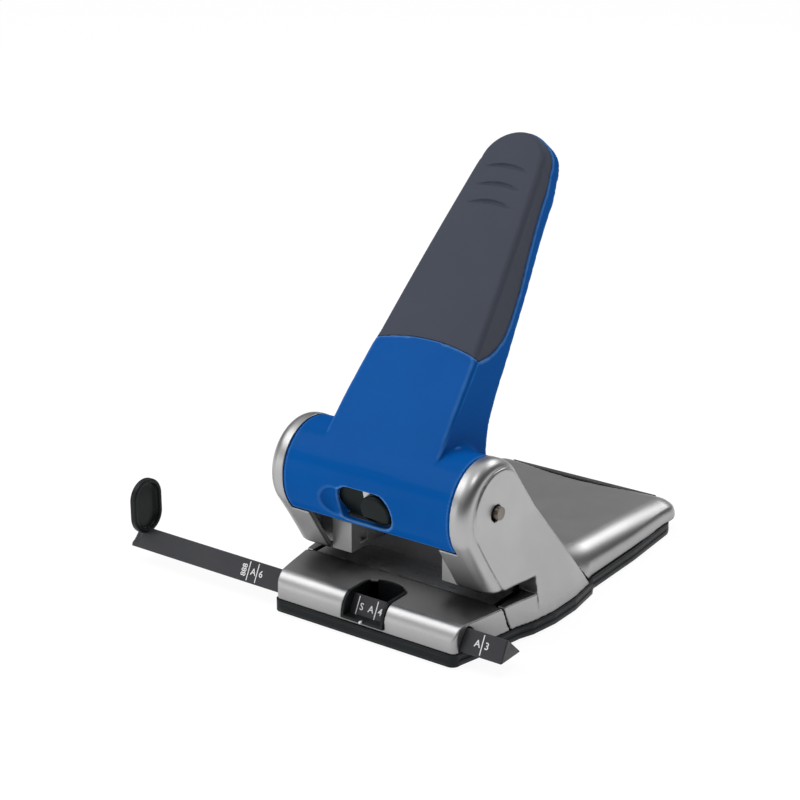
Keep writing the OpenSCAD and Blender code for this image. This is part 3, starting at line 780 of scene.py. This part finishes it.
def make_base():
    cover = solid("front_cover_skin", front_cover, (-64, -44.5, 7), (64, -5, 21.5), 0.75)
    finish(cover, SILVER, "base", "silver_paint", "front_cover")
    rear = solid("rear_cover_skin", rear_cover, (-64, 21, 7), (64, 172, 46), 1.0)
    finish(rear, SILVER, "base", "silver_paint", "rear_cover")
    make_tray_edge()
    rail = solid("guide_rail_skin", guide_rail, (-155, -40.5, 8), (77.5, -22.5, 19.5),
                 (1.0, 0.5, 0.5))
    finish(rail, RAIL, "edge_guide", "rail_grey", "guide_rail")
    stop = solid("paper_stop_skin", paper_stop, (-150.2, -45, 15.5), (-146, -19.5, 46.5), 0.42)
    finish(stop, BLACK, "edge_guide", "black_plastic", "paper_stop")
    make_marks()


# ---------------------------------------------------------------- springs and CAD nodes

def make_spring(name, side):
    """A compression spring with closed, ground ends."""
    low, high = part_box(name)
    wire, radius, turns, sides, steps = 0.65, 4.2, 8.5, 12, 340
    t = np.linspace(0, 1, steps)
    spread = fade((t - 0.08) / 0.84) * 0.35 + 0.65 * np.clip((t - 0.08) / 0.84, 0, 1)
    z = low.z / MM + wire + spread * ((high.z - low.z) / MM - 2 * wire)
    angle = 2 * np.pi * turns * t
    b = np.linspace(0, 2 * np.pi, sides, endpoint=False)
    r = radius + wire * np.cos(b)
    points = np.stack([40 * side + np.cos(angle)[:, None] * r, np.sin(angle)[:, None] * r,
                       z[:, None] + wire * np.sin(b)[None, :]], -1).reshape(-1, 3)
    i, j = np.meshgrid(np.arange(steps - 1), np.arange(sides), indexing="ij")
    on = (j + 1) % sides
    quads = np.stack([i * sides + j, (i + 1) * sides + j, (i + 1) * sides + on, i * sides + on], -1)
    spring = mesh_object(name + "_coil", points, quads.reshape(-1, 4))
    finish(spring, DARK_STEEL, "base", "dark_steel", name)
    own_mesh(spring)


def dress_cad_nodes():
    """Gives every CAD node that still shows its finish and slightly broken edges."""
    finishes = {part["node"]: SLOT_FINISH[part["material_slot"]] for part in RECORD["subparts"]}
    finishes["pivot_shaft"] = PIN_STEEL
    finishes["paper_stop_wall"] = DARK_STEEL
    finishes["guide_block_left"] = finishes["guide_block_right"] = GUIDE
    for name, node in frame["nodes"].items():
        if node.hide_render:
            continue
        for slot in node.material_slots:
            slot.material = finishes[name]
        weld = node.modifiers.new("weld", "WELD")
        weld.merge_threshold = 0.002 * MM
        bevel = node.modifiers.new("edges", "BEVEL")
        bevel.width = 0.3 * MM
        bevel.segments = 2
        bevel.limit_method = "ANGLE"
        bevel.angle_limit = math.radians(40)
        bevel.harden_normals = True


# ---------------------------------------------------------------- stage

def make_stage():
    scene = bpy.context.scene
    scene.view_settings.view_transform = "Standard"

    mesh = bpy.data.meshes.new("floor")
    mesh.from_pydata([(-15, -15, 0), (15, -15, 0), (15, 15, 0), (-15, 15, 0)], [], [(0, 1, 2, 3)])
    floor = bpy.data.objects.new("floor", mesh)
    scene.collection.objects.link(floor)
    pale = bpy.data.materials.new("pale_floor")
    pale.use_nodes = True
    shader = pale.node_tree.nodes["Principled BSDF"]
    shader.inputs["Base Color"].default_value = (0.12, 0.12, 0.12, 1)
    shader.inputs["Roughness"].default_value = 0.9
    shader.inputs["Specular IOR Level"].default_value = 0.0
    shader.inputs["Emission Color"].default_value = (1, 1, 1, 1)
    shader.inputs["Emission Strength"].default_value = 0.93
    mesh.materials.append(pale)

    # Grey walls under a pale ceiling, darker towards the right
    world = bpy.data.worlds.new("studio")
    scene.world = world
    world.use_nodes = True
    nodes, links = world.node_tree.nodes, world.node_tree.links
    place = nodes.new("ShaderNodeTexCoord")
    parts = nodes.new("ShaderNodeSeparateXYZ")
    links.new(place.outputs["Generated"], parts.inputs["Vector"])

    def ramp_of(axis, *levels):
        ramp = nodes.new("ShaderNodeValToRGB")
        while len(ramp.color_ramp.elements) < len(levels):
            ramp.color_ramp.elements.new(0.5)
        for stop, (position, level) in zip(ramp.color_ramp.elements, levels):
            stop.position, stop.color = position, (level, level, level, 1)
        links.new(parts.outputs[axis], ramp.inputs["Fac"])
        return ramp.outputs["Color"]

    shade = nodes.new("ShaderNodeMix")
    shade.data_type, shade.blend_type = "RGBA", "MULTIPLY"
    shade.inputs["Factor"].default_value = 1
    links.new(ramp_of("Z", (0.12, 0.2), (0.38, 0.16), (0.85, 0.85)), shade.inputs["A"])
    links.new(ramp_of("X", (0.05, 1.0), (0.5, 0.15)), shade.inputs["B"])
    links.new(shade.outputs["Result"], nodes["Background"].inputs["Color"])

    def softbox(name, place, size, power):
        light = bpy.data.lights.new(name, "AREA")
        light.shape = "RECTANGLE"
        light.size, light.size_y = size
        light.energy = power
        lamp = bpy.data.objects.new(name, light)
        scene.collection.objects.link(lamp)
        lamp.location = place
        aim = Vector((0, 0.02, 0.08)) - Vector(place)
        lamp.rotation_mode = "QUATERNION"
        lamp.rotation_quaternion = aim.to_track_quat("-Z", "Y")

    softbox("key_left", (-0.9, -0.62, 1.35), (1.3, 0.9), 9)
    softbox("rim_top", (0.5, -0.2, 1.5), (0.2, 0.26), 3)
    softbox("rear", (0.25, 1.3, 1.05), (0.8, 0.35), 6)
    softbox("front_fill", (-1.0, -1.2, 0.3), (1.3, 0.5), 3)

    azimuth, elevation = math.radians(35.551), math.radians(19.935)
    back = Vector((math.sin(azimuth) * math.cos(elevation),
                   -math.cos(azimuth) * math.cos(elevation), math.sin(elevation)))
    lens = bpy.data.cameras.new("camera")
    lens.lens, lens.sensor_width = 87.54, 36
    camera = bpy.data.objects.new("camera", lens)
    scene.collection.objects.link(camera)
    camera.location = (0.5077, -0.72257, 0.43138)
    camera.rotation_mode = "QUATERNION"
    camera.rotation_quaternion = (-back).to_track_quat("-Z", "Y")
    scene.camera = camera


make_lever()
make_towers()
make_base()
for spring_name, spring_side in (("return_spring_left", -1), ("return_spring_right", 1)):
    make_spring(spring_name, spring_side)
dress_cad_nodes()
make_stage()
